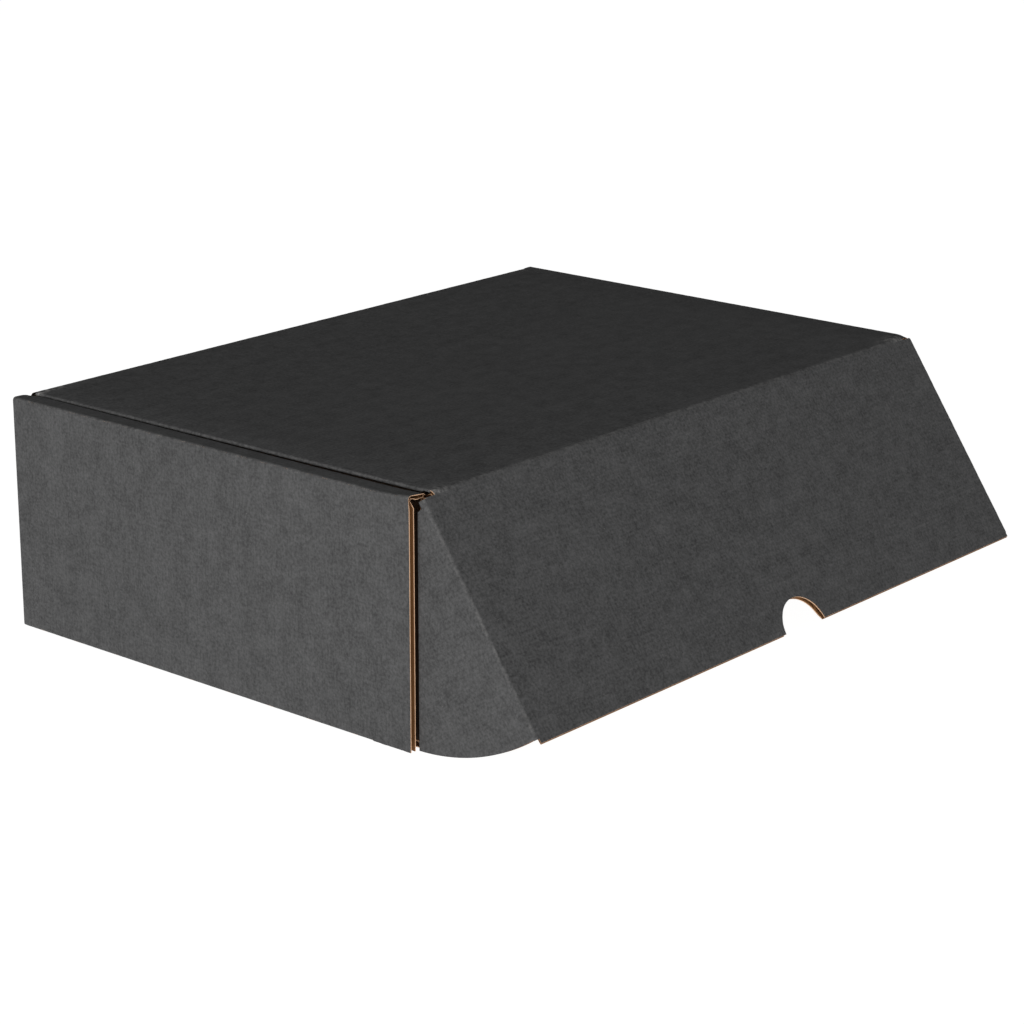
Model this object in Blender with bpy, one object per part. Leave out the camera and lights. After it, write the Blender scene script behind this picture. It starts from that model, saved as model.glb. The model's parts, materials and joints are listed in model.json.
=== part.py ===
"""Corrugated mailer box: one folded blank with rolled side walls, a hinged lid and a front flap.

The box stands on its base, with the origin at the centre of the underside. +X is to the right,
+Y to the back and +Z up. The lid is shut, and its front flap is swung out from the open front.
Every panel between two creases is a piece of its own, with a fine gap left at each crease.
"""

import math

import bmesh
import bpy
from mathutils import Matrix, Vector

# Driving dimensions, in metres and degrees.
WIDTH = 0.334  # outside, across the two side walls
DEPTH = 0.221  # outside, from the open front to the back wall
HEIGHT = 0.100  # outside, to the top of the side walls
BOARD = 0.0028  # thickness of the single-wall board
HOLLOW = 0.0038  # space inside each rolled side wall
GAP = 0.0003  # left between pieces that touch
SIDE_GAP = 0.0005  # play between pieces that slide past each other
CREASE_RADIUS = 0.002  # outside of every fold
LID_RISE_BACK = 0.0005  # height of the lid's top over the side walls, at its back crease
LID_RISE_FRONT = 0.0015  # and at its front crease, where it rides up a little
LATCH_TAB = 0.030  # length of each locking tab
TAB_PITCH = 0.110  # distance between a wall's two tabs
DUST_FLAP = 0.075  # reach of the back wall's flaps into the side walls
DUST_CORNER = 0.020  # rounding of their free corners
FLAP_LENGTH = 0.1002  # front flap, from the lid crease to its free edge
FLAP_ANGLE = math.radians(34.3)  # front flap, outward from hanging straight down
SHOULDER = 0.0012  # the flap's ends start this far below the lid crease
CORNER_CUT = 0.002  # chamfer on the flap's lower corners
NOTCH_RADIUS = 0.0136
NOTCH_RISE = 0.0126  # height of the thumb notch above the flap's free edge
NOTCH_OFFSET = 0.0052  # the notch lies a little to the right of the middle
EAR_RADIUS = 0.0983
EAR_CENTRE = 0.0046  # the ear's arc is struck from a point this far behind the flap
EAR_TOP = 0.0048  # the ear's upper edge, below the lid crease, passes under the wall's top
EAR_NECK = 0.0024  # the ear is full height for this much next to the flap
EAR_CLEARANCE = 0.0007  # from the ears to the ends of the side walls
ARC_STEPS = 24
FOLD_STEPS = 3

HALF_WIDTH = WIDTH / 2
BACK = DEPTH / 2
FRONT = -DEPTH / 2
WALL_TOP = 2 * BOARD + HOLLOW  # width of a rolled wall's top
WALL_FACE = HALF_WIDTH - WALL_TOP  # the side walls' inside faces
LID_HALF = WALL_FACE - SIDE_GAP
LID_BACK_TOP = HEIGHT + LID_RISE_BACK
LID_FRONT_TOP = HEIGHT + LID_RISE_FRONT
EAR_FACE = HALF_WIDTH - BOARD - SIDE_GAP  # outer faces of the ears
DUST_FACE = HALF_WIDTH - BOARD - GAP  # outer faces of the dust flaps
CREASE_FRONT = FRONT - GAP - BOARD  # the lid's front crease
UNDER_WALL_TOP = HEIGHT - BOARD - GAP
MITRE_GAP = GAP / math.sqrt(2)  # along the panel, on each side of a crease

X = Vector((1, 0, 0))
Y = Vector((0, 1, 0))
Z = Vector((0, 0, 1))


def remove_everything():
    for thing in list(bpy.data.objects):
        bpy.data.objects.remove(thing)


def board_material():
    material = bpy.data.materials.new("black_board")
    material.use_nodes = True
    shader = material.node_tree.nodes["Principled BSDF"]
    shader.inputs["Base Color"].default_value = (0.035, 0.035, 0.036, 1)
    shader.inputs["Roughness"].default_value = 0.8
    shader.inputs["Metallic"].default_value = 0.0
    return material


def arc(centre, radius, start, end, steps):
    """Points of an arc in the panel's plane, from angle start to angle end."""
    angles = [start + (end - start) * i / steps for i in range(steps + 1)]
    return [(centre[0] + radius * math.cos(a), centre[1] + radius * math.sin(a)) for a in angles]


def inset(outline, distances):
    """The outline with each edge moved inwards by its own distance."""
    points = []
    count = len(outline)
    for i in range(count):
        before, here, after = (Vector(outline[(i + k) % count]) for k in (-1, 0, 1))
        first = (here - before).normalized()
        second = (after - here).normalized()
        d1, d2 = distances[i - 1], distances[i]
        n1 = Vector((-first.y, first.x))
        n2 = Vector((-second.y, second.x))
        turn = n1.x * n2.y - n1.y * n2.x
        if abs(turn) < 1e-9:
            points.append(here + n1 * d1)
            continue
        # the corner lies d1 from the first edge and d2 from the second
        shift = Vector(((d1 * n2.y - d2 * n1.y) / turn, (d2 * n1.x - d1 * n2.x) / turn))
        points.append(here + shift)
    return points


def fold_profile():
    """(depth below the outer face, setback from the fold's corner) down a creased edge."""
    steps = [math.radians(45) * i / FOLD_STEPS for i in range(FOLD_STEPS + 1)]
    round_part = [(CREASE_RADIUS * (1 - math.cos(a)), CREASE_RADIUS * (1 - math.sin(a))) for a in steps]
    return round_part + [(BOARD, BOARD)]


def placed(origin, along, up, outward):
    """The matrix of a panel whose local X, Y and Z point along, up and outward."""
    axes = Matrix((along, up, outward)).transposed().to_4x4()
    return Matrix.Translation(origin) @ axes


def add_object(name, mesh, matrix, material):
    thing = bpy.data.objects.new(name, mesh)
    thing.matrix_world = matrix
    mesh.materials.append(material)
    bpy.context.scene.collection.objects.link(thing)
    return thing


def panel(name, outline, creased, matrix, material):
    """A board panel below its outer face, with a rounded, mitred edge wherever creased is true."""
    bm = bmesh.new()
    loops = []
    for depth, setback in fold_profile():
        distances = [setback + MITRE_GAP if fold else 0.0 for fold in creased]
        ring = [bm.verts.new((p[0], p[1], -depth)) for p in inset(outline, distances)]
        loops.append(ring)
    bm.faces.new(loops[0])
    bm.faces.new(reversed(loops[-1]))
    count = len(outline)
    for upper, lower in zip(loops, loops[1:]):
        for i in range(count):
            j = (i + 1) % count
            bm.faces.new((upper[i], lower[i], lower[j], upper[j]))
    mesh = bpy.data.meshes.new(name)
    bm.to_mesh(mesh)
    bm.free()
    return add_object(name, mesh, matrix, material)


def mirrored(piece, name, material):
    """The same piece on the other side of the box."""
    flip = Matrix.Diagonal((-1, 1, 1, 1))
    mesh = bpy.data.meshes.new(name)
    bm = bmesh.new()
    bm.from_mesh(piece.data)
    bmesh.ops.transform(bm, matrix=flip, verts=bm.verts)
    bmesh.ops.reverse_faces(bm, faces=bm.faces)
    bm.to_mesh(mesh)
    bm.free()
    return add_object(name, mesh, flip @ piece.matrix_world @ flip, material)


def tab_centres():
    """Y of the locking tabs' middles, the same on both sides."""
    return (-TAB_PITCH / 2, TAB_PITCH / 2)


def slot_cutter(target, x, y):
    """Cuts the slot for one locking tab through the base."""
    size = Vector((BOARD + 2 * GAP, LATCH_TAB + 2 * GAP, 4 * BOARD))
    mesh = bpy.data.meshes.new("slot_cutter")
    bm = bmesh.new()
    bmesh.ops.create_cube(bm, size=1.0, matrix=Matrix.Diagonal((*size, 1)))
    bm.to_mesh(mesh)
    bm.free()
    cutter = bpy.data.objects.new("slot_cutter", mesh)
    cutter.location = (x, y, 0)
    cutter.hide_render = True
    cutter.display_type = "WIRE"
    bpy.context.scene.collection.objects.link(cutter)
    cut = target.modifiers.new("slot", "BOOLEAN")
    cut.operation = "DIFFERENCE"
    cut.solver = "EXACT"
    cut.object = cutter


def ear_corner():
    """The ear's lower rear corner in its own plane, as (back from the flap, down from the crease)."""
    slope = math.tan(FLAP_ANGLE)
    start = ear_rear_start()
    # the rear edge, u = start + slope * v, meets the arc about (EAR_CENTRE, 0)
    a = 1 + slope**2
    b = 2 * slope * (start - EAR_CENTRE)
    c = (start - EAR_CENTRE) ** 2 - EAR_RADIUS**2
    v = (-b + math.sqrt(b * b - 4 * a * c)) / (2 * a)
    return start + slope * v, v


def ear_rear_start():
    """Where the ear's rear edge, upright at rest, would meet the level of the lid crease."""
    return (FRONT - EAR_CLEARANCE - CREASE_FRONT) / math.cos(FLAP_ANGLE)


def relief_end():
    """Y where the ear's lower corner, swinging in, has risen clear of the base."""
    swing = Vector(ear_corner()).length
    height = LID_FRONT_TOP - BOARD - GAP
    return CREASE_FRONT + math.sqrt(swing**2 - height**2) + GAP


def make_base(material):
    """The base, cut back at its two front corners so that the ears can swing in."""
    relief = -relief_end()
    edge = WALL_FACE + BOARD
    outline = [
        (-HALF_WIDTH, -BACK),
        (HALF_WIDTH, -BACK),
        (HALF_WIDTH, relief),
        (edge, relief),
        (edge, -FRONT),
        (-edge, -FRONT),
        (-edge, relief),
        (-HALF_WIDTH, relief),
    ]
    creased = [True, True, False, False, False, False, False, True]
    base = panel("base_panel", outline, creased, placed((0, 0, 0), X, -Y, -Z), material)
    for side in (-1, 1):
        for y in tab_centres():
            slot_cutter(base, side * (WALL_FACE + BOARD / 2), y)
    return base


def make_back_wall(material):
    outline = [
        (-DUST_FACE, 0),
        (DUST_FACE, 0),
        (DUST_FACE, UNDER_WALL_TOP),
        (LID_HALF, UNDER_WALL_TOP),
        (LID_HALF, LID_BACK_TOP),
        (-LID_HALF, LID_BACK_TOP),
        (-LID_HALF, UNDER_WALL_TOP),
        (-DUST_FACE, UNDER_WALL_TOP),
    ]
    creased = [True, True, False, False, True, False, False, True]
    return panel("back_wall", outline, creased, placed((0, BACK, 0), -X, Z, Y), material)


def make_dust_flap(material):
    low = BOARD + 2 * GAP
    high = UNDER_WALL_TOP - GAP
    reach = DUST_FLAP - DUST_CORNER
    lower = arc((reach, low + DUST_CORNER), DUST_CORNER, -math.pi / 2, 0, ARC_STEPS // 4)
    upper = arc((reach, high - DUST_CORNER), DUST_CORNER, 0, math.pi / 2, ARC_STEPS // 4)
    outline = [(0, low)] + lower + upper + [(0, high)]
    creased = [False] * (len(outline) - 1) + [True]
    place = placed((-DUST_FACE, BACK, 0), -Y, Z, -X)
    return panel("back_dust_flap_left", outline, creased, place, material)


def make_side_wall(material):
    """The rolled left wall: outer panel, narrow top and inner panel with its locking tabs."""
    outer = panel(
        "left_wall_outer",
        [(0, 0), (DEPTH, 0), (DEPTH, HEIGHT), (0, HEIGHT)],
        [True, False, True, False],
        placed((-HALF_WIDTH, BACK, 0), -Y, Z, -X),
        material,
    )
    top = panel(
        "left_wall_top",
        [(0, 0), (DEPTH, 0), (DEPTH, WALL_TOP), (0, WALL_TOP)],
        [True, False, True, False],
        placed((-HALF_WIDTH, BACK, HEIGHT), -Y, X, Z),
        material,
    )
    start = BACK - BOARD - GAP
    foot = HEIGHT - BOARD - GAP
    length = start - FRONT
    outline = [(0, 0), (0, foot)]
    for y in sorted(tab_centres(), reverse=True):
        near = start - y - LATCH_TAB / 2
        far = near + LATCH_TAB
        outline += [(near, foot), (near, HEIGHT), (far, HEIGHT), (far, foot)]
    outline += [(length, foot), (length, 0)]
    outline.reverse()
    # the last edge, along the wall's top, is the fold
    creased = [False] * len(outline)
    creased[-1] = True
    place = placed((-WALL_FACE, start, HEIGHT), -Y, -Z, X)
    inner = panel("left_wall_inner", outline, creased, place, material)
    return outer, top, inner


def make_lid(material):
    back_crease = Vector((0, BACK, LID_BACK_TOP))
    span = Vector((0, CREASE_FRONT, LID_FRONT_TOP)) - back_crease
    length = span.length
    forward = span.normalized()
    outline = [(-LID_HALF, 0), (LID_HALF, 0), (LID_HALF, length), (-LID_HALF, length)]
    place = placed(back_crease, -X, forward, forward.cross(X))
    return panel("lid_panel", outline, [True, False, True, False], place, material)


def flap_axes():
    """Unit vectors down the front flap, and back from it at a right angle."""
    down = Vector((0, -math.sin(FLAP_ANGLE), -math.cos(FLAP_ANGLE)))
    behind = Vector((0, math.cos(FLAP_ANGLE), -math.sin(FLAP_ANGLE)))
    return down, behind


def make_front_flap(material):
    down, behind = flap_axes()
    ear_end = FLAP_LENGTH - CORNER_CUT
    free = EAR_FACE - CORNER_CUT
    below_edge = NOTCH_RADIUS - NOTCH_RISE
    lean = math.asin(below_edge / NOTCH_RADIUS)
    centre = (-NOTCH_OFFSET, FLAP_LENGTH + below_edge)
    notch = arc(centre, NOTCH_RADIUS, -lean, lean - math.pi, ARC_STEPS)
    right_end = [
        (LID_HALF, SHOULDER),
        (EAR_FACE, SHOULDER),
        (EAR_FACE, ear_end),
        (free, FLAP_LENGTH),
    ]
    left_end = [(-u, v) for u, v in reversed(right_end)]
    outline = [(-LID_HALF, 0), (LID_HALF, 0)] + right_end + notch + left_end
    creased = [False] * len(outline)
    creased[0] = True  # to the lid
    creased[3] = True  # to one ear
    creased[-3] = True  # to the other ear
    place = placed((0, CREASE_FRONT, LID_FRONT_TOP), -X, down, -behind)
    return panel("front_flap", outline, creased, place, material)


def make_ear(material):
    """The left ear: a tongue on the flap's end, whose rear edge stands upright at rest."""
    down, behind = flap_axes()
    corner_u, corner_v = ear_corner()
    rear = math.atan2(corner_v, corner_u - EAR_CENTRE)
    front = math.acos(-EAR_CENTRE / EAR_RADIUS)
    lower_edge = arc((EAR_CENTRE, 0), EAR_RADIUS, rear, front, ARC_STEPS)
    outline = [
        (0, SHOULDER),
        (EAR_NECK, SHOULDER),
        (EAR_NECK + GAP, EAR_TOP),
        (ear_rear_start() + math.tan(FLAP_ANGLE) * EAR_TOP, EAR_TOP),
    ]
    outline += lower_edge
    creased = [False] * (len(outline) - 1) + [True]
    place = placed((-EAR_FACE, CREASE_FRONT, LID_FRONT_TOP), behind, down, -X)
    return panel("left_ear", outline, creased, place, material)


def hang(child, parent):
    """Parents child to parent and leaves it where it is."""
    bpy.context.view_layer.update()
    child.parent = parent
    child.matrix_parent_inverse = parent.matrix_world.inverted()


def main():
    remove_everything()
    material = board_material()
    base = make_base(material)
    back = make_back_wall(material)
    dust = make_dust_flap(material)
    outer, top, inner = make_side_wall(material)
    lid = make_lid(material)
    flap = make_front_flap(material)
    ear = make_ear(material)

    fixed = [back, dust, outer, top, inner]
    fixed.append(mirrored(dust, "back_dust_flap_right", material))
    fixed.append(mirrored(outer, "right_wall_outer", material))
    fixed.append(mirrored(top, "right_wall_top", material))
    fixed.append(mirrored(inner, "right_wall_inner", material))
    right_ear = mirrored(ear, "right_ear", material)

    for piece in fixed:
        hang(piece, base)
    hang(lid, base)
    hang(flap, lid)
    hang(ear, flap)
    hang(right_ear, flap)


main()
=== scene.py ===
"""The looks of a black corrugated mailer box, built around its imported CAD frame.

Every panel is made again as real single-wall board: a printed outer liner, a fluted medium and
a kraft inner liner, with rounded and slightly crushed creases and raw die-cut edges. The flutes
of the whole blank run one way. A panel's own coordinates are a, along its flutes, b, across
them, and the depth below its outer face.
"""

import json
import math

import bpy
import numpy as np
from mathutils import Matrix, Vector


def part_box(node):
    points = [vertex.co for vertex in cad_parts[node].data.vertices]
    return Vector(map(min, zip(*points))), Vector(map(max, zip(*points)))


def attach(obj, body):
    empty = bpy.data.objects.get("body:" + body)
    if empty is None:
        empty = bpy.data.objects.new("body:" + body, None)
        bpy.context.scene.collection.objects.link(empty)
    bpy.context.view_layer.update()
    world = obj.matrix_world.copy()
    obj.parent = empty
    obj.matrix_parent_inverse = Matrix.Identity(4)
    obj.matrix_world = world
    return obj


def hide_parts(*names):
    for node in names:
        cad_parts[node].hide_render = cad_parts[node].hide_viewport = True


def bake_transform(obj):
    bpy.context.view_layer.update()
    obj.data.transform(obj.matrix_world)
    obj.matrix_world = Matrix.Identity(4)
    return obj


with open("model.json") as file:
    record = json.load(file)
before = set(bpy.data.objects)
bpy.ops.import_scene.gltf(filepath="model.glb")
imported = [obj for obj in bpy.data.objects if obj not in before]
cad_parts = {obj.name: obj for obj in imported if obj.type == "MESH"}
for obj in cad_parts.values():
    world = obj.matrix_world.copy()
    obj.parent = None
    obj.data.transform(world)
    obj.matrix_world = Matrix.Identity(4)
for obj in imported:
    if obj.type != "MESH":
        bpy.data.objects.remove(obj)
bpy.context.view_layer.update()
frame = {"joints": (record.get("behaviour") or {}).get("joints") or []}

X = Vector((1, 0, 0))
Y = Vector((0, 1, 0))
Z = Vector((0, 0, 1))

# Sizes read from the frame, in metres.
JOINTS = {joint["name"]: joint for joint in frame["joints"]}
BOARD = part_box("left_ear")[1].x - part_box("left_ear")[0].x
HALF_WIDTH = -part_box("left_wall_outer")[0].x
FRONT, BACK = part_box("left_wall_outer")[0].y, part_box("left_wall_outer")[1].y
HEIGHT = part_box("left_wall_top")[1].z
WALL_FACE = -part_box("left_wall_inner")[1].x
LID_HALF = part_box("lid_panel")[1].x
EAR_FACE = -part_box("left_ear")[0].x
DUST_FACE = -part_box("back_dust_flap_left")[0].x
DUST_LOW, DUST_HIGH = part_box("back_dust_flap_left")[0].z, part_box("back_dust_flap_left")[1].z
DUST_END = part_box("back_dust_flap_left")[0].y
LID_HINGE = Vector(JOINTS["lid_hinge"]["pos_m"])
FLAP_HINGE = Vector(JOINTS["flap_fold"]["pos_m"])
FLAP_ANGLE = -math.radians(JOINTS["flap_fold"]["range_deg"][0])
FLAP_LENGTH = (FLAP_HINGE.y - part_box("front_flap")[0].y) / math.sin(FLAP_ANGLE)

# Shapes that the boxes don't give, as in the CAD.
SHOULDER = 0.0018
NOTCH_RADIUS = 0.0136
NOTCH_RISE = 0.0126
NOTCH_OFFSET = 0.0052
EAR_RADIUS = 0.0983
EAR_CENTRE = 0.0046
EAR_TOP = 0.0048
EAR_NECK = 0.0027
DUST_CORNER = 0.020
LATCH_TAB = 0.030
TAB_PITCH = 0.110
RELIEF_END = -0.0909
PLAY = 0.0003
WALL_FOOT = BOARD + PLAY

# Where the looks leave the CAD's shapes a little.
EAR_STEP = 0.0018  # the flap's free edge reaches this much below the ear's crease
EAR_CLEARANCE = 0.0014  # between the ear's rear edge and the walls' front ends
EAR_BOTTOM = math.radians(89.4)  # where round its arc the ear's lowest edge is cut
SHOULDER_GAP = 0.0002  # between the back wall's raised part and the side walls
CORNER_REACH = 0.0024  # the back wall's corners, under the rolled walls' inner creases
CORNER_DEPTH = 0.0020

# The board's own structure.
LINER = 0.0004
MEDIUM = 0.00028
PITCH = 0.0064
WASHBOARD = 0.00003
RAGGED = 0.00013
MEDIUM_RECESS = 0.0035  # how far inside a cut along the flutes the medium starts
CUT_RECESS = 0.0003  # and inside a cut across them
PINCH_REACH = 0.003  # how far from a crease the board starts to thin
EDGE_LEAN = 0.00038  # the inner liner stands this much proud of the outer one at a free edge
EDGE_SQUEEZE = 0.4
EDGE_REACH = 0.004

# How finely the panels are divided.
ROW_STEP = PITCH / 8
WIDE_STEP = 0.020
WALL_STEP = 0.012
STRIP_STEP = 0.001
CREASE_STEP = 0.0008
ARC_COLUMNS = 7
LID_COLUMNS = 14
FLAP_COLUMNS = 12
EAR_COLUMNS = 11
DUST_COLUMNS = 9
TINY = 0.0001
NOTCH_MARGIN = 0.98  # of the squared radius, so that no cell on the notch's edge is lost

# How the rolled walls' ends are out of true.
BULGE = 0.0013  # how far the left one's top opens out at its front end
BULGE_OUT = 0.4  # the share of it that goes sideways, in the outermost skin only
BULGE_SKIN = 1 / 3
BULGE_FADE = 0.75  # the share of it that is gone at the wall's inner face
BULGE_LENGTH = 0.008
BULGE_DEPTH = 0.004
STRIP_SQUEEZE = 0.5  # how much thinner the top strip is there
BACK_CRUSH = 0.0014
BACK_CRUSH_LENGTH = 0.0045
FRONT_CRUSH = 0.0009
FRONT_CRUSH_LENGTH = 0.0025
INNER_STEP = 0.0012  # the inner panels stop this much short of the outer ones

# The lid's cut sides. The die has pressed them down, but for the last bit before the flap.
DROOP_SHARE = 1.3
DROOP_LEAST = 0.45
OPEN_LENGTH = 0.0005
PRESS_LENGTH = 0.006
LID_CORE_GAP = 0.0003
LID_CORE_RECESS = 0.0006
CREASE_CORE_RECESS = 0.0007

# Scuffs.
WEAR_TRACE = 0.12
WEAR_REACH = 0.0034
WEAR_STRETCH = 2.2

# Folds, as (radius of the printed face, full angle, share of the thickness crushed).
RIGHT_ANGLE = math.pi / 2
WALL_FOLD = (0.0014, RIGHT_ANGLE, 0.7)
INNER_FOLD = (0.0017, RIGHT_ANGLE, 0.55)
BASE_FOLD = (0.0013, RIGHT_ANGLE, 0.7)
BACK_FOLD = (0.0024, RIGHT_ANGLE, 0.5)
EAR_FOLD = (0.0014, RIGHT_ANGLE, 0.66)
LID_FOLD_RADIUS = 0.0027
LID_CRUSH = 0.5
DROOP = (0.0008, math.radians(150), 0.0)

# Light and camera.
CAMERA_PLACE = (-0.90007, -0.78085, 0.40425)
CAMERA_AZIMUTH = math.radians(49.737)
CAMERA_ELEVATION = math.radians(17.287)
CAMERA_ROLL = math.radians(0.157)
CAMERA_LENS = 99.95
WORLD_STRENGTH = 0.18
LIGHT_SIZE = 1.3
LIGHT_TARGET = Vector((0, 0, 0.05))
KEY_PLACE, KEY_POWER = (-2.5, 0.8, 0.5), 44
FILL_PLACE, FILL_POWER = (-0.9, -1.5, 0.5), 25
FLOOR_HALF = 30.0
FLOOR_DROP = 0.0004
FLOOR_GLOW = 0.97
FLOOR_GREY = 0.16


# ---------------------------------------------------------------- materials


def node(tree, kind, **settings):
    """A new node. The settings are values of its sockets or, failing that, its properties."""
    made = tree.nodes.new(kind)
    for key, value in settings.items():
        if key in made.inputs:
            made.inputs[key].default_value = value
        else:
            setattr(made, key, value)
    return made


def maths(tree, operation, first, second, clamp=False):
    made = node(tree, "ShaderNodeMath", operation=operation, use_clamp=clamp)
    for socket, value in zip(made.inputs, (first, second)):
        if isinstance(value, (int, float)):
            socket.default_value = value
        else:
            tree.links.new(value, socket)
    return made.outputs[0]


def noise(tree, vector, scale, detail=2.0, rough=0.5):
    made = node(tree, "ShaderNodeTexNoise", Scale=scale, Detail=detail, Roughness=rough)
    tree.links.new(vector, made.inputs["Vector"])
    return made.outputs["Fac"]


def ramp(tree, value, low=0.3, high=0.7, low_to=0.0, high_to=1.0):
    """Spreads the part of a value from low to high over another range. Noise mostly has 0.3-0.7."""
    ends = {"From Min": low, "From Max": high, "To Min": low_to, "To Max": high_to}
    made = node(tree, "ShaderNodeMapRange", **ends)
    tree.links.new(value, made.inputs["Value"])
    return made.outputs["Result"]


def mix(tree, factor, first, second):
    made = node(tree, "ShaderNodeMix", data_type="RGBA")
    tree.links.new(factor, made.inputs["Factor"])
    colours = [socket for socket in made.inputs if socket.type == "RGBA"]
    for socket, value in zip(colours, (first, second)):
        if isinstance(value, tuple):
            socket.default_value = (*value, 1)
        else:
            tree.links.new(value, socket)
    return next(socket for socket in made.outputs if socket.type == "RGBA")


def board_vector(tree, along, across):
    """The panel's own (a, b), scaled, as a texture vector."""
    uv = node(tree, "ShaderNodeUVMap", uv_map="board")
    scaled = node(tree, "ShaderNodeVectorMath", operation="MULTIPLY")
    tree.links.new(uv.outputs["UV"], scaled.inputs[0])
    scaled.inputs[1].default_value = (along, across, 1)
    return scaled.outputs[0]


def new_material(name, roughness, specular):
    material = bpy.data.materials.new(name)
    material.use_nodes = True
    tree = material.node_tree
    shader = tree.nodes["Principled BSDF"]
    shader.inputs["Roughness"].default_value = roughness
    shader.inputs["Specular IOR Level"].default_value = specular
    return material, tree, shader


def roughen(tree, shader, height, distance):
    bump = node(tree, "ShaderNodeBump", Strength=0.5, Distance=distance)
    tree.links.new(height, bump.inputs["Height"])
    tree.links.new(bump.outputs[0], shader.inputs["Normal"])


def black_material():
    """Matt black print on kraft paper: fine grain, streaks along the flutes, specks and wear."""
    material, tree, shader = new_material("black_board", 0.80, 0.22)
    place = tree.nodes.new("ShaderNodeTexCoord").outputs["Object"]
    grain = noise(tree, place, 900, 3, 0.6)
    mottle = noise(tree, place, 130, 3, 0.55)
    clouds = noise(tree, place, 14, 2)
    streaks = noise(tree, board_vector(tree, 90, 1300), 1.0, 2)
    cross = noise(tree, board_vector(tree, 1100, 110), 1.0, 2)
    flutes = noise(tree, board_vector(tree, 6, 1 / PITCH), 1.0, 0)

    values = (grain, mottle, clouds, streaks, cross, flutes)
    tone = 1.0
    for value, swing in zip(values, (0.38, 0.14, 0.03, 0.10, 0.07, 0.03)):
        tone = maths(tree, "ADD", ramp(tree, value, low_to=-swing, high_to=swing), tone)
    print_colour = node(tree, "ShaderNodeVectorMath", operation="SCALE")
    print_colour.inputs[0].default_value = (0.0500, 0.0500, 0.0503)
    tree.links.new(tone, print_colour.inputs["Scale"])

    speck_noise = noise(tree, place, 1700, 1)
    speck_patch = noise(tree, place, 60, 1)
    specks = ramp(tree, speck_noise, 0.74, 0.80)
    specks = maths(tree, "MULTIPLY", specks, ramp(tree, speck_patch, 0.45, 0.65))
    specks = maths(tree, "MULTIPLY", specks, 0.55)
    colour = mix(tree, specks, print_colour.outputs[0], (0.22, 0.21, 0.20))

    wear = node(tree, "ShaderNodeAttribute", attribute_name="wear").outputs["Fac"]
    scuff_noise = noise(tree, place, 420, 4, 0.7)
    scuff = maths(tree, "MULTIPLY", wear, ramp(tree, scuff_noise, 0.42, 0.66), clamp=True)
    colour = mix(tree, scuff, colour, (0.36, 0.35, 0.34))
    tree.links.new(colour, shader.inputs["Base Color"])

    tree.links.new(ramp(tree, grain, low_to=0.72, high_to=0.86), shader.inputs["Roughness"])
    height = maths(tree, "MULTIPLY", grain, 0.7)
    for value, share in ((streaks, 0.5), (mottle, 0.8)):
        height = maths(tree, "ADD", height, maths(tree, "MULTIPLY", value, share))
    roughen(tree, shader, height, 0.00012)
    return material


def kraft_material(name, light, dark):
    """Unprinted kraft paper with fibres along and across the sheet, between two tones."""
    material, tree, shader = new_material(name, 0.86, 0.2)
    place = tree.nodes.new("ShaderNodeTexCoord").outputs["Object"]
    fibres = noise(tree, board_vector(tree, 260, 1700), 1.0, 4, 0.65)
    cross = noise(tree, board_vector(tree, 1500, 240), 1.0, 4, 0.65)
    clouds = noise(tree, place, 40, 3)
    grain = noise(tree, place, 1500, 2)
    tone = ramp(tree, fibres)
    for value in (cross, clouds, grain):
        tone = maths(tree, "ADD", tone, ramp(tree, value))
    colour_out = mix(tree, maths(tree, "MULTIPLY", tone, 0.25, clamp=True), dark, light)
    tree.links.new(colour_out, shader.inputs["Base Color"])
    roughen(tree, shader, maths(tree, "ADD", fibres, cross), 0.0001)
    return material


# ---------------------------------------------------------------- board


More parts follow.
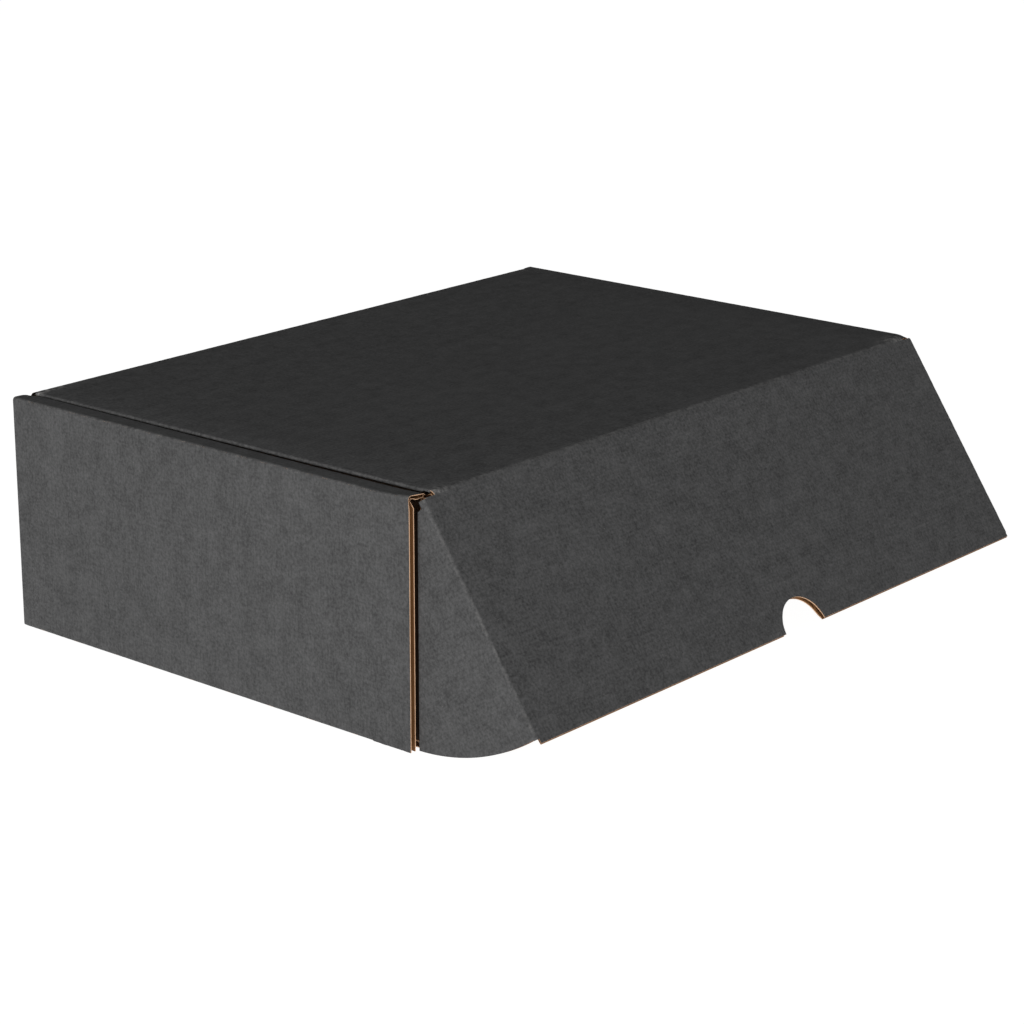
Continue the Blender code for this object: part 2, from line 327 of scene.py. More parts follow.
class Plane:
    """A panel's frame. Beyond each flat range the board turns down through an arc.

    axes are the directions of a, of b, and out of the printed face. The folds are given for the
    low and the high end of a range. shape may move points within the panel's coordinates, and
    free says which points are left out of the folds along a.
    """

    def __init__(self, origin, axes, a_flat, b_flat, a_folds=(None, None), b_folds=(None, None)):
        self.origin = np.array(origin)
        self.axes = [np.array(axis) for axis in axes]
        self.flat = (a_flat, b_flat)
        self.folds = (a_folds, b_folds)
        self.handed = np.dot(np.cross(self.axes[0], self.axes[1]), self.axes[2])
        self.shape = None
        self.free = None

    def pinch(self, values, axis):
        """Share of the board's thickness that is left near the creases across an axis."""
        left = np.ones_like(values)
        for fold, sign, edge in zip(self.folds[axis], (-1, 1), self.flat[axis]):
            if fold is not None:
                near = np.clip(1 + sign * (values - edge) / PINCH_REACH, 0, 1)
                left *= 1 - fold[2] * near * near * (3 - 2 * near)
        return left

    def turn(self, values, depth, axis):
        """(place along the axis, depth, share of the way into a crease)."""
        along = values.copy()
        down = depth.copy()
        crease = np.zeros_like(values)
        low, high = self.flat[axis]
        for end, sign, edge in ((0, -1, low), (1, 1, high)):
            if self.folds[axis][end] is None:
                continue
            radius, angle, _ = self.folds[axis][end]
            over = sign * (values - edge)
            bent = over > 1e-9
            phi = np.minimum(np.where(bent, over, 0) / radius, angle)
            straight = np.maximum(over - radius * angle, 0)
            share = np.sin(np.pi * phi / angle) ** 2
            reach = radius - depth
            ahead = reach * np.sin(phi) + straight * np.cos(phi)
            along = np.where(bent, edge + sign * ahead, along)
            down = np.where(bent, radius - reach * np.cos(phi) + straight * np.sin(phi), down)
            crease = np.maximum(crease, np.where(bent, share, 0))
        return along, down, crease

    def place(self, a, b, depth):
        """World places of points of the panel, and their crease shares."""
        if self.shape:
            a, b, depth = self.shape(a, b, depth)
        free = self.free(a, b) if self.free else np.zeros(a.shape, bool)
        depth = depth * np.where(free, 1, self.pinch(a, 0)) * self.pinch(b, 1)
        a_place, a_down, a_crease = self.turn(a, depth, 0)
        a_place, a_down, a_crease = np.where(free, (a, depth, 0 * a), (a_place, a_down, a_crease))
        b_place, b_down, b_crease = self.turn(b, depth, 1)
        down = a_down + b_down - depth
        points = (
            self.origin
            + a_place[..., None] * self.axes[0]
            + b_place[..., None] * self.axes[1]
            - down[..., None] * self.axes[2]
        )
        return points, np.maximum(a_crease, b_crease)


def steps(low, high, step, extra=()):
    """Evenly spread values from low to high, with the extra ones that lie between them."""
    count = max(1, round((high - low) / step))
    values = list(np.linspace(low, high, count + 1))
    values += [value for value in extra if low < value < high]
    values = sorted(values)
    kept = [values[0]]
    for value in values[1:]:
        if value - kept[-1] > 1e-5:
            kept.append(value)
    return np.array(kept)


def arc_steps(fold, edge, sign, share=0.5):
    """Columns through an arc beyond an edge, over a share of the fold's full angle."""
    if fold is None:
        return []
    radius, angle, _ = fold
    length = radius * angle * share
    return [edge + sign * length * i / ARC_COLUMNS for i in range(1, ARC_COLUMNS + 1)]


def crossing(plane, axis, low, high, step, extra=()):
    """The values across a panel: low to high, and on through the half arcs of its folds."""
    before = arc_steps(plane.folds[axis][0], low, -1)[::-1]
    after = arc_steps(plane.folds[axis][1], high, 1)
    return np.array(before + list(steps(low, high, step, extra)) + after)


class Sheets:
    """Collects closed paper sheets of one object."""

    def __init__(self):
        self.points = []
        self.faces = []
        self.kinds = []
        self.uv = []
        self.wear = []
        self.count = 0

    def add(self, plane, rows, columns, keep, top, bottom, inset=0.0, wear=None):
        """One closed sheet between two depths, over the cells of a grid that keep() accepts."""
        a = np.array([columns(b, inset) for b in rows])
        b = np.repeat(np.array(rows)[:, None], a.shape[1], axis=1)
        index = np.arange(a.size).reshape(a.shape)
        for j in range(1, a.shape[1]):
            same = np.abs(a[:, j] - a[:, j - 1]) < 1e-8
            index[same, j] = index[same, j - 1]
        corners = [index[:-1, :-1], index[:-1, 1:], index[1:, 1:], index[1:, :-1]]
        if plane.handed < 0:
            corners = corners[::-1]
        quads = np.stack([c.ravel() for c in corners], axis=1)
        mid_a = (a[:-1, :-1] + a[:-1, 1:] + a[1:, 1:] + a[1:, :-1]).ravel() / 4
        mid_b = (b[:-1, :-1] + b[1:, :-1]).ravel() / 2
        whole = np.array([len(set(q)) == 4 for q in quads.tolist()])
        if keep is not None:
            whole &= keep(mid_a, mid_b)
        quads = quads[whole]

        size = a.size
        layers = []
        for depth in (top, bottom):
            level = depth(a, b) if callable(depth) else np.full(a.shape, depth)
            points, crease = plane.place(a, b, level)
            layers.append((points.reshape(-1, 3), crease.ravel()))
        start = quads.ravel()
        end = np.roll(quads, -1, axis=1).ravel()
        forward = start.astype(np.int64) * size + end
        backward = end.astype(np.int64) * size + start
        rim = ~np.isin(forward, backward)
        rims = np.stack([end[rim], start[rim], start[rim] + size, end[rim] + size], axis=1)
        self.faces.append(np.concatenate([quads, quads[:, ::-1] + size, rims]) + self.count)
        self.kinds.append(np.repeat([0, 1, 2], [len(quads), len(quads), len(rims)]))
        self.points += [layers[0][0], layers[1][0]]
        self.uv += [np.stack([a.ravel(), b.ravel()], axis=1)] * 2
        crease = layers[0][1].reshape(a.shape)
        crease = (WEAR_TRACE * crease if wear is None else wear(a, b, crease)).ravel()
        self.wear += [crease, crease]
        self.count += 2 * size

    def build(self, name, face_material, back_material, rim_material):
        points = np.concatenate(self.points)
        faces = np.concatenate(self.faces)
        kinds = np.concatenate(self.kinds)
        uv = np.concatenate(self.uv)
        wear = np.concatenate(self.wear)
        used, flat = np.unique(faces, return_inverse=True)
        faces = flat.reshape(faces.shape)
        mesh = bpy.data.meshes.new(name)
        mesh.from_pydata(points[used].tolist(), [], faces.tolist())
        for material in (face_material, back_material, rim_material):
            mesh.materials.append(material)
        mesh.polygons.foreach_set("material_index", kinds.astype(np.int32))
        layer = mesh.uv_layers.new(name="board")
        layer.data.foreach_set("uv", uv[used][faces.ravel()].astype(np.float32).ravel())
        attribute = mesh.attributes.new("wear", "FLOAT", "POINT")
        attribute.data.foreach_set("value", wear[used].astype(np.float32))
        mesh.polygons.foreach_set("use_smooth", np.ones(len(faces), bool))
        mesh.set_sharp_from_angle(angle=math.radians(40))
        thing = bpy.data.objects.new(name, mesh)
        bpy.context.scene.collection.objects.link(thing)
        return thing


def ragged(x, seed):
    """Small irregular waves along a crease, between about -1 and 1."""
    waves = ((0.023, 0.35), (0.0112, 0.3), (PITCH, 0.3), (0.0041, 0.25), (0.0027, 0.2))
    total = 0
    for k, (length, size) in enumerate(waves):
        total = total + size * np.sin(2 * np.pi * x / length + seed * (k + 1) * 1.7)
    return total


def outer_face(plane, seed):
    """Depth of the printed face: faint washboard, and creases that aren't quite even."""

    def depth(a, b):
        creases = []
        for axis, values in ((0, a), (1, b)):
            creases.append(plane.turn(values, np.zeros_like(values), axis)[2])
        level = WASHBOARD * np.cos(2 * np.pi * b / PITCH) * (1 - np.maximum(*creases))
        level += RAGGED * creases[0] * ragged(b, seed) + RAGGED * creases[1] * ragged(a, seed)
        return level

    return depth


def fluted(offset):
    """Depth of one face of the fluted medium."""
    middle = BOARD / 2
    swing = BOARD / 2 - LINER - MEDIUM / 2

    def depth(a, b):
        return middle + swing * np.cos(2 * np.pi * b / PITCH) + offset

    return depth


# Kraft paper's tones, as (key, name, light, dark). The medium's tone is the paper darkened with
# painted shade, and the near-black tone is painted shade for the rolled walls' insides and other
# deep, narrow gaps.
KRAFT_TONES = (
    ("kraft", "kraft", (0.48, 0.29, 0.155), (0.35, 0.20, 0.095)),
    # near-black painted shade, not the paper's own colour
    ("hollow_painted_shade", "hollow_painted_shade", (0.030, 0.016, 0.008), (0.018, 0.009, 0.004)),
    # kraft paper, darkened with painted shade for the dark channels between the liners
    ("medium", "medium", (0.20, 0.088, 0.030), (0.11, 0.047, 0.015)),
    ("raw", "raw_edge", (0.74, 0.49, 0.32), (0.48, 0.28, 0.16)),
)
MATERIALS = {}


def board(
    name, plane, rows, columns, seed, keep=None, cuts=(False, False),
    printed=None, wear=None, dark=False, lining=None,
):
    """A panel's outer liner and its core, as two objects.

    columns gives the columns of a row, and keep says which cells are board. seed varies the
    unevenness, and wear gives the scuffs. cuts says which ends of the rows are raw cuts along the
    flutes. printed may give the outer liner a plane and columns of its own. dark paints the medium,
    the liner's back and the raw plies at the cuts near-black, as painted shade, and lining is
    another material for the inner face.
    """
    face, face_columns = printed or (plane, columns)
    outer = outer_face(face, seed)
    liner = Sheets()
    liner.add(face, rows, face_columns, keep, outer, lambda a, b: outer(a, b) + LINER, wear=wear)
    core = Sheets()
    core.add(plane, rows, columns, keep, BOARD - LINER, BOARD)
    low = rows[0] + MEDIUM_RECESS * cuts[0]
    high = rows[-1] - MEDIUM_RECESS * cuts[1]
    inner_rows = rows[(rows >= low - 1e-6) & (rows <= high + 1e-6)]
    above, below = fluted(-MEDIUM / 2), fluted(MEDIUM / 2)
    core.add(plane, inner_rows, columns, keep, above, below, inset=CUT_RECESS)
    core.kinds[-1] = np.zeros_like(core.kinds[-1])  # all of the medium looks the same
    # with dark, the medium, inner faces and raw rims get the near-black painted-shade tone
    inside, raw = [MATERIALS["hollow_painted_shade"]] * 2 if dark else (MATERIALS["medium"], MATERIALS["raw"])
    return (
        liner.build(name + "_liner", MATERIALS["black"], inside, raw),
        core.build(name + "_core", inside, lining or MATERIALS["kraft"], raw),
    )


def mirrored(pieces, name):
    """The same pieces on the box's other side."""
    made = []
    for piece, suffix in zip(pieces, ("_liner", "_core")):
        mesh = piece.data.copy()
        mesh.transform(Matrix.Diagonal((-1, 1, 1, 1)))
        mesh.flip_normals()
        thing = bpy.data.objects.new(name + suffix, mesh)
        bpy.context.scene.collection.objects.link(thing)
        made.append(thing)
    return made


def settle(pieces, body, cad_node):
    """Puts a panel's liner and core on its body, in place of the CAD panel."""
    for piece, slot in zip(pieces, ("black_board", "kraft_board")):
        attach(piece, body)
        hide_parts(cad_node)


def fixed_columns(values):
    """The same columns in every row, but for the inset."""
    return lambda b, inset: np.clip(values, values[0] + inset, values[-1] - inset)


TABS = (-TAB_PITCH / 2, TAB_PITCH / 2)
TAB_EDGES = [y + side * LATCH_TAB / 2 for y in TABS for side in (-1, 1)]
SLOT_EDGES = [y + side * (LATCH_TAB / 2 + PLAY) for y in TABS for side in (-1, 1)]


def in_tab(b, margin):
    """Whether b lies within a locking tab, or its slot."""
    return np.minimum(abs(b - TABS[0]), abs(b - TABS[1])) < LATCH_TAB / 2 + margin


def make_base():
    flat = HALF_WIDTH - BASE_FOLD[0]
    start = -BACK + BASE_FOLD[0]
    folds = (BASE_FOLD, BASE_FOLD)
    axes = (X, -Y, -Z)
    plane = Plane((0, 0, 0), axes, (-flat, flat), (start, -FRONT), folds, (BASE_FOLD, None))
    slot_out = WALL_FACE + BOARD + PLAY
    slot_in = WALL_FACE - PLAY
    relief = WALL_FACE + BOARD
    marks = [side * x for side in (-1, 1) for x in (slot_out, slot_in, relief)]
    columns = crossing(plane, 0, -flat, flat, WIDE_STEP, marks)
    extra = [-RELIEF_END] + [-y for y in SLOT_EDGES]
    rows = crossing(plane, 1, start, -FRONT, ROW_STEP, extra)

    def keep(a, b):
        slots = (abs(a) > slot_in) & (abs(a) < slot_out) & in_tab(b, PLAY)
        corners = (abs(a) > relief) & (b > -RELIEF_END)
        return ~(slots | corners)

    pieces = board("base", plane, rows, fixed_columns(columns), 1.0, keep, (False, True))
    settle(pieces, "tray", "base_panel")


def reshape(pieces, change):
    """Moves the points of finished pieces."""
    for piece in pieces:
        vertices = piece.data.vertices
        points = np.empty(3 * len(vertices))
        vertices.foreach_get("co", points)
        vertices.foreach_set("co", change(points.reshape(-1, 3)).ravel())
        piece.data.update()


def inward(points):
    """0 at the left wall's outer face to 1 at its inner face."""
    return np.clip((points[:, 0] + HALF_WIDTH) / (HALF_WIDTH - WALL_FACE), 0, 1)


def near_end(points, end, length):
    """1 at an end of the walls, falling off within a length of it."""
    return np.exp(-(((points[:, 1] - end) / length) ** 2))


def near_top(points, depth):
    """1 at the tops of the walls, falling to 0 at a depth below them."""
    return np.clip((points[:, 2] - HEIGHT + depth) / depth, 0, 1)


def front_bulge(points):
    """The left rolled wall opens out a little at the top of its raw front end."""
    amount = BULGE * near_end(points, FRONT, BULGE_LENGTH) * near_top(points, BULGE_DEPTH) ** 2
    moved = points.copy()
    moved[:, 0] -= BULGE_OUT * amount * np.clip(1 - inward(points) / BULGE_SKIN, 0, 1)
    moved[:, 2] += amount * (1 - BULGE_FADE * inward(points))
    return moved


def back_crush(points):
    """The rolled walls' inner creases are pressed down at their back ends."""
    amount = near_end(points, BACK, BACK_CRUSH_LENGTH) * near_top(points, BOARD)
    moved = points.copy()
    moved[:, 2] -= BACK_CRUSH * amount * inward(points) ** 4
    return moved


def front_crush(points):
    """The right rolled wall's top is pressed down at its front end."""
    amount = near_end(points, FRONT, FRONT_CRUSH_LENGTH) * near_top(points, BOARD)
    moved = points.copy()
    moved[:, 2] -= FRONT_CRUSH * amount
    return moved


def make_side_walls():
    """The rolled walls, each of an outer panel, a top strip and an inner panel."""
    span = (-BACK, -FRONT)
    rows = steps(*span, ROW_STEP)
    # The rolled walls' faces inside the roll get the near-black painted-shade tone.
    hidden = {"cuts": (True, True), "lining": MATERIALS["hollow_painted_shade"]}

    low, high = BASE_FOLD[0], HEIGHT - WALL_FOLD[0]
    folds = (BASE_FOLD, WALL_FOLD)
    plane = Plane((-HALF_WIDTH, 0, 0), (Z, -Y, -X), (low, high), span, folds)
    # At the front the base is cut back, and nothing holds the wall's foot in.
    plane.free = lambda a, b: (a < HEIGHT / 2) & (b > -RELIEF_END)
    columns = crossing(plane, 0, low, high, WALL_STEP, [HEIGHT - BULGE_DEPTH])
    outer = board("left_outer", plane, rows, fixed_columns(columns), 2.0, **hidden)

    low, high = WALL_FOLD[0], HALF_WIDTH - WALL_FACE - INNER_FOLD[0]
    folds = (WALL_FOLD, INNER_FOLD)
    plane = Plane((-HALF_WIDTH, 0, HEIGHT), (X, -Y, Z), (low, high), span, folds)
    middle = (low + high) / 2

    def shape(a, b, depth):
        near = np.exp(-(((b + FRONT) / BULGE_LENGTH) ** 2))
        inner = np.clip(1 - ((a - middle) / (high - middle)) ** 2, 0, 1)
        return a, b, depth * (1 - STRIP_SQUEEZE * near * inner)

    plane.shape = shape
    columns = crossing(plane, 0, low, high, STRIP_STEP)
    top = board("left_top", plane, rows, fixed_columns(columns), 3.0, **hidden)

    low, foot = INNER_FOLD[0], HEIGHT - WALL_FOOT
    folds = (INNER_FOLD, None)
    plane = Plane((-WALL_FACE, 0, HEIGHT), (-Z, -Y, X), (low, HEIGHT), span, folds)
    columns = crossing(plane, 0, low, HEIGHT, WALL_STEP, [foot, CORNER_DEPTH])
    back_end = -BACK + BOARD + PLAY
    rows = steps(-BACK, -FRONT - INNER_STEP, ROW_STEP, [back_end] + [-y for y in TAB_EDGES])

    def keep(a, b):
        return ((a < foot) | in_tab(b, 0)) & ((b > back_end) | (a < CORNER_DEPTH))

    inner = board("left_inner", plane, rows, fixed_columns(columns), 4.0, keep, **hidden)
    for pieces, part in ((outer, "outer"), (top, "top"), (inner, "inner")):
        reshape(pieces, back_crush)
        right = mirrored(pieces, "right_" + part)
        reshape(right, front_crush)
        settle(right, "tray", "right_wall_" + part)
        reshape(pieces, front_bulge)
        settle(pieces, "tray", "left_wall_" + part)


def make_back_wall():
    flat = DUST_FACE - BACK_FOLD[0]
    low, high = BASE_FOLD[0], lid_back_tangent()
    folds = (BACK_FOLD, BACK_FOLD)
    b_folds = (BASE_FOLD, lid_folds()[0])
    plane = Plane((0, BACK, 0), (X, Z, Y), (-flat, flat), (low, high), folds, b_folds)
    shoulder = WALL_FACE - SHOULDER_GAP
    corner = WALL_FACE + CORNER_REACH
    marks = [-corner, -shoulder, shoulder, corner]
    columns = crossing(plane, 0, -flat, flat, WIDE_STEP, marks)
    under_top = HEIGHT - BOARD - PLAY
    under_crease = HEIGHT - CORNER_DEPTH
    rows = crossing(plane, 1, low, high, ROW_STEP, [DUST_LOW, under_top, under_crease])
    rows = rows[:-ARC_COLUMNS]  # the lid's crease is a piece of its own

    def keep(a, b):
        return (abs(a) < shoulder) | (b < under_top) | ((abs(a) < corner) & (b < under_crease))

    settle(board("back", plane, rows, fixed_columns(columns), 5.0, keep), "tray", "back_wall")


def make_dust_flaps():
    end = BACK - DUST_END
    start = BACK_FOLD[0]
    span = (DUST_LOW, DUST_HIGH)
    plane = Plane((-DUST_FACE, BACK, 0), (-Y, Z, -X), (start, end), span, (BACK_FOLD, None))
    before = arc_steps(BACK_FOLD, start, -1)[::-1]

    def columns(b, inset):
        rise = max(DUST_LOW + DUST_CORNER - b, b - (DUST_HIGH - DUST_CORNER), 0)
        reach = end - DUST_CORNER + math.sqrt(max(DUST_CORNER**2 - rise**2, 0))
        return before + list(np.linspace(start, reach - inset, DUST_COLUMNS))

    bends = [DUST_CORNER * (1 - math.cos(angle)) for angle in np.linspace(0, RIGHT_ANGLE, 10)]
    extra = [DUST_LOW + x for x in bends] + [DUST_HIGH - x for x in bends]
    rows = steps(DUST_LOW, DUST_HIGH, ROW_STEP, extra)
    pieces = board("left_dust", plane, rows, columns, 6.0, cuts=(True, True))
    settle(pieces, "tray", "back_dust_flap_left")
    settle(mirrored(pieces, "right_dust"), "tray", "back_dust_flap_right")


def lid_axes():
    """Across, forward to the flap, and out of the lid."""
    forward = (FLAP_HINGE - LID_HINGE).normalized()
    return X, forward, forward.cross(X)


def flap_axes():
    """Across, down to the free edge, and out of the flap."""
    down = Vector((0, -math.sin(FLAP_ANGLE), -math.cos(FLAP_ANGLE)))
    outward = Vector((0, -math.cos(FLAP_ANGLE), math.sin(FLAP_ANGLE)))
    return X, down, outward


def tangent_length(fold):
    """From a fold's sharp corner to where its arc begins."""
    return fold[0] * math.tan(fold[1] / 2)


def lid_folds():
    """The lid's back and front folds."""
    forward, down = lid_axes()[1], flap_axes()[1]
    back = (LID_FOLD_RADIUS, forward.angle(-Z), LID_CRUSH)
    front = (LID_FOLD_RADIUS, forward.angle(down), LID_CRUSH)
    return back, front


def lid_back_tangent():
    """Height on the back wall where the lid's back fold begins."""
    return LID_HINGE.z - tangent_length(lid_folds()[0])


def corner_wear(corners):
    """Scuffs round the given corners, and a trace of them along the creases."""

    def wear(a, b, crease):
        amount = WEAR_TRACE * crease
        for corner_a, corner_b, strength in corners:
            distance = np.hypot((a - corner_a) / WEAR_STRETCH, b - corner_b)
            amount = np.maximum(amount, strength * np.exp(-((distance / WEAR_REACH) ** 2)))
        return amount

    return wear


def make_lid():
    axes = lid_axes()
    back_fold, front_fold = lid_folds()
    start = tangent_length(back_fold)
    end = (FLAP_HINGE - LID_HINGE).length - tangent_length(front_fold)
    tip = LID_HALF - DROOP[0]
    core_half = LID_HALF - LID_CORE_GAP
    b_folds = (back_fold, front_fold)
    plane = Plane(LID_HINGE, axes, (-core_half, core_half), (start, end), b_folds=b_folds)
    face = Plane(LID_HINGE, axes, (-tip, tip), (start, end), (DROOP, DROOP), b_folds)
    flat = steps(-tip, tip, WIDE_STEP)
    arc = np.array(arc_steps(DROOP, 0, 1, DROOP_SHARE))

    def pressed(b):
        """Share of the droop in a row: the cut is open next to the front crease."""
        return min(1.0, max(0.0, (end - OPEN_LENGTH - b) / PRESS_LENGTH))

    def columns(b, inset):
        half = core_half - inset - LID_CORE_RECESS * pressed(b)
        return np.linspace(-half, half, LID_COLUMNS)

    def face_columns(b, inset):
        side = tip + arc * max(pressed(b), DROOP_LEAST)
        return np.concatenate([-side[::-1], flat, side])

    rows = steps(start, end, ROW_STEP)
    scuffs = [(-LID_HALF, start, 1.0), (LID_HALF, start, 0.3)]
    scuffs += [(-LID_HALF, end, 0.3), (LID_HALF, end, 0.8)]
    # The lid's cut sides get the near-black painted-shade tone at their plies.
    looks = {"printed": (face, face_columns), "wear": corner_wear(scuffs), "dark": True}
    settle(board("lid", plane, rows, columns, 7.0, **looks), "lid", "lid_panel")

    flat = (lid_back_tangent(),) * 2
    back = Plane((0, BACK, 0), (X, Z, Y), (0, 0), flat, b_folds=(None, back_fold))
    # Its plies at the cut ends get the same near-black painted shade.
    crease_strip("lid_crease", back, WALL_FACE - SHOULDER_GAP, 0.3, True, "tray", "lid")
    front = Plane(LID_HINGE, axes, (0, 0), (end, end), b_folds=(None, front_fold))
    crease_strip("flap_crease", front, LID_HALF, 0.8, False, "lid", "flap")


def crease_strip(name, plane, half, scuff, dark, body_a, body_b):
    """The bending strip of board across the lid's back or front crease.

    half is half its length, scuff the wear at its right end, and dark is as for board().
    """
    begin = plane.flat[1][1]
    rows = np.array([begin] + arc_steps(plane.folds[1][1], begin, 1, 1.0))
    columns = steps(-half, half, CREASE_STEP)
    wear = corner_wear([(-LID_HALF, begin, 0.6), (LID_HALF, begin, scuff)])
    core = fixed_columns(columns)(0, CREASE_CORE_RECESS * dark)
    looks = {"printed": (plane, fixed_columns(columns)), "wear": wear, "dark": dark}
    pieces = board(name, plane, rows, fixed_columns(core), 8.0 + begin, **looks)
    bend_pieces(pieces, plane, (0, begin), (0, rows[-1]), body_a, body_b)


def bend_pieces(pieces, plane, first, last, body_a, body_b):
    """Works out the ends of a crease's liner and core, each at its own inner face, and bakes their
    transforms into their meshes; the two bodies are not used.
    """
    for piece, depth, slot in zip(pieces, (LINER, BOARD), ("black_board", "kraft_board")):
        a, b = np.array([first, last], dtype=float).T
        ends = plane.place(a, b, np.full(2, depth))[0]
        tuple(ends[0])
        tuple(ends[1])
        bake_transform(piece)


def free_edge(past, depth):
    """How far a point near a free edge moves out, and its new depth.

    past is how far beyond the edge the point lies.
    """
    near = np.clip(1 + past / EDGE_REACH, 0, 1) ** 2
    return EDGE_LEAN * near * depth / BOARD, depth * (1 - EDGE_SQUEEZE * near)


def make_front_flap():
    fold = lid_folds()[1]
    start = tangent_length(fold)
    edge = EAR_FACE - EAR_FOLD[0]
    folds = (EAR_FOLD, EAR_FOLD)
    span = (start, FLAP_LENGTH)
    plane = Plane(FLAP_HINGE, flap_axes(), (-edge, edge), span, folds, (fold, None))
    centre = FLAP_LENGTH + NOTCH_RADIUS - NOTCH_RISE
    top = centre - NOTCH_RADIUS

    def shape(a, b, depth):
        lean, squeezed = free_edge(b - FLAP_LENGTH, depth)
        return a, b + lean, squeezed

    plane.shape = shape

    def columns(b, inset):
        half = math.sqrt(max(NOTCH_RADIUS**2 - (centre - b) ** 2, 0)) if b > top else 0
        left = np.linspace(inset - edge, NOTCH_OFFSET - half - inset, FLAP_COLUMNS)
        right = np.linspace(NOTCH_OFFSET + half + inset, edge - inset, FLAP_COLUMNS)
        return np.concatenate([left, right])

    def keep(a, b):
        rim = NOTCH_RADIUS**2 * NOTCH_MARGIN
        return ~((b > top) & ((a - NOTCH_OFFSET) ** 2 + (centre - b) ** 2 < rim))

    extra = [centre - NOTCH_RADIUS * math.cos(angle) for angle in np.linspace(0, RIGHT_ANGLE, 16)]
    rows = steps(start, FLAP_LENGTH, ROW_STEP, extra)
    settle(board("flap", plane, rows, columns, 9.0, keep, (False, True)), "flap", "front_flap")


def make_ears():
    _, down, outward = flap_axes()
    slope = math.tan(FLAP_ANGLE)
    rear_start = (FRONT - EAR_CLEARANCE - FLAP_HINGE.y) / math.cos(FLAP_ANGLE)
    bottom = EAR_RADIUS * math.sin(EAR_BOTTOM)
    start = tangent_length(EAR_FOLD)
    origin = Vector((-EAR_FACE, FLAP_HINGE.y, FLAP_HINGE.z))
    axes = (-outward, down, -X)
    plane = Plane(origin, axes, (start, EAR_RADIUS), (SHOULDER, bottom), (EAR_FOLD, None))

    def shape(a, b, depth):
        radius = np.hypot(a - EAR_CENTRE, b)
        lean, squeezed = free_edge(radius - EAR_RADIUS, depth)
        grow = 1 + 0.6 * lean / radius
        return EAR_CENTRE + (a - EAR_CENTRE) * grow, b * grow, squeezed

    plane.shape = shape

    def columns(b, inset):
        arc_half = math.sqrt(max(EAR_RADIUS**2 - b**2, 0))
        rear = min(rear_start + slope * b, EAR_CENTRE + arc_half)
        if b < EAR_TOP - TINY:
            rear = EAR_NECK
        front = max(start, EAR_CENTRE - arc_half)
        return np.linspace(front, max(rear, front + 5 * TINY) - inset / 2, EAR_COLUMNS)

    # The rows lie closer together where the arc turns under.
    angles = np.linspace(math.radians(50), EAR_BOTTOM, 40)
    extra = [EAR_RADIUS * math.sin(angle) for angle in angles] + [EAR_TOP - PLAY, EAR_TOP]
    rows = steps(SHOULDER, bottom, ROW_STEP, extra)
    pieces = board("left_ear", plane, rows, columns, 10.0, cuts=(True, True))
    settle(pieces, "ear_left", "left_ear")
    settle(mirrored(pieces, "right_ear"), "ear_right", "right_ear")

    crease_end = FLAP_LENGTH - EAR_STEP
    span = (SHOULDER, crease_end)
    strip = Plane(origin, (-X, down, outward), (-start, -start), span, (None, EAR_FOLD))
    columns = np.array([-start] + arc_steps(EAR_FOLD, -start, 1, 1.0))
    rows = steps(*span, ROW_STEP)
    pieces = board("left_ear_crease", strip, rows, fixed_columns(columns), 11.0, cuts=(True, True))
    right = mirrored(pieces, "right_ear_crease")
    middle = sum(span) / 2
    ends = (-start, middle), (columns[-1], middle)
    bend_pieces(pieces, strip, *ends, "flap", "ear_left")
    strip.origin = strip.origin * (-1, 1, 1)
    strip.axes[0] = -strip.axes[0]
    bend_pieces(right, strip, *ends, "flap", "ear_right")


# ---------------------------------------------------------------- stage


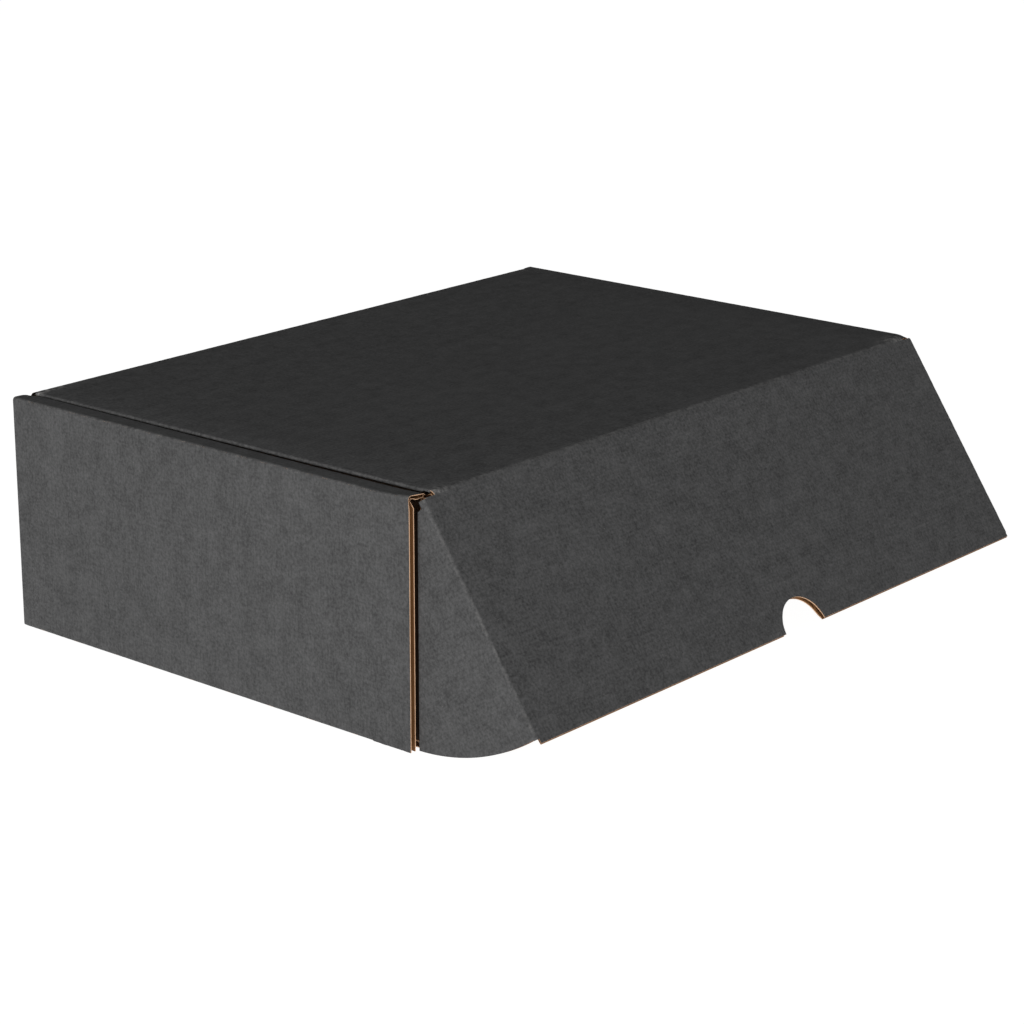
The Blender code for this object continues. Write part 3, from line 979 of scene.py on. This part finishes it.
def make_floor():
    mesh = bpy.data.meshes.new("floor")
    half = FLOOR_HALF
    corners = [(-half, -half, 0), (half, -half, 0), (half, half, 0), (-half, half, 0)]
    mesh.from_pydata(corners, [], [(0, 1, 2, 3)])
    material = bpy.data.materials.new("floor")
    material.use_nodes = True
    tree = material.node_tree
    tree.nodes.clear()
    glow = node(tree, "ShaderNodeEmission", Color=(1, 1, 1, 1), Strength=FLOOR_GLOW)
    paper = node(tree, "ShaderNodeBsdfDiffuse", Color=(*[FLOOR_GREY] * 3, 1))
    both = tree.nodes.new("ShaderNodeAddShader")
    output = tree.nodes.new("ShaderNodeOutputMaterial")
    tree.links.new(glow.outputs[0], both.inputs[0])
    tree.links.new(paper.outputs[0], both.inputs[1])
    tree.links.new(both.outputs[0], output.inputs["Surface"])
    mesh.materials.append(material)
    floor = bpy.data.objects.new("floor", mesh)
    floor.location.z = -FLOOR_DROP
    bpy.context.scene.collection.objects.link(floor)


def area_light(name, place, power):
    data = bpy.data.lights.new(name, "AREA")
    data.shape = "SQUARE"
    data.size = LIGHT_SIZE
    data.energy = power
    lamp = bpy.data.objects.new(name, data)
    lamp.location = place
    lamp.rotation_euler = (LIGHT_TARGET - Vector(place)).to_track_quat("-Z", "Y").to_euler()
    bpy.context.scene.collection.objects.link(lamp)


def make_light():
    world = bpy.data.worlds.new("studio")
    world.use_nodes = True
    background = world.node_tree.nodes["Background"]
    background.inputs["Color"].default_value = (1, 1, 1, 1)
    background.inputs["Strength"].default_value = WORLD_STRENGTH
    bpy.context.scene.world = world
    area_light("key", KEY_PLACE, KEY_POWER)
    area_light("fill", FILL_PLACE, FILL_POWER)


def make_camera():
    data = bpy.data.cameras.new("camera")
    data.lens = CAMERA_LENS
    data.sensor_width = 36
    camera = bpy.data.objects.new("camera", data)
    turn = Matrix.Rotation(-CAMERA_AZIMUTH, 4, "Z")
    tilt = Matrix.Rotation(RIGHT_ANGLE - CAMERA_ELEVATION, 4, "X")
    roll = Matrix.Rotation(CAMERA_ROLL, 4, "Z")
    camera.matrix_world = Matrix.Translation(CAMERA_PLACE) @ turn @ tilt @ roll
    bpy.context.scene.collection.objects.link(camera)
    bpy.context.scene.camera = camera


def main():
    MATERIALS["black"] = black_material()
    for key, name, light, dark in KRAFT_TONES:
        MATERIALS[key] = kraft_material(name, light, dark)
    make_base()
    make_side_walls()
    make_back_wall()
    make_dust_flaps()
    make_lid()
    make_front_flap()
    make_ears()
    make_floor()
    make_light()
    make_camera()
    bpy.context.scene.view_settings.view_transform = "Standard"


main()
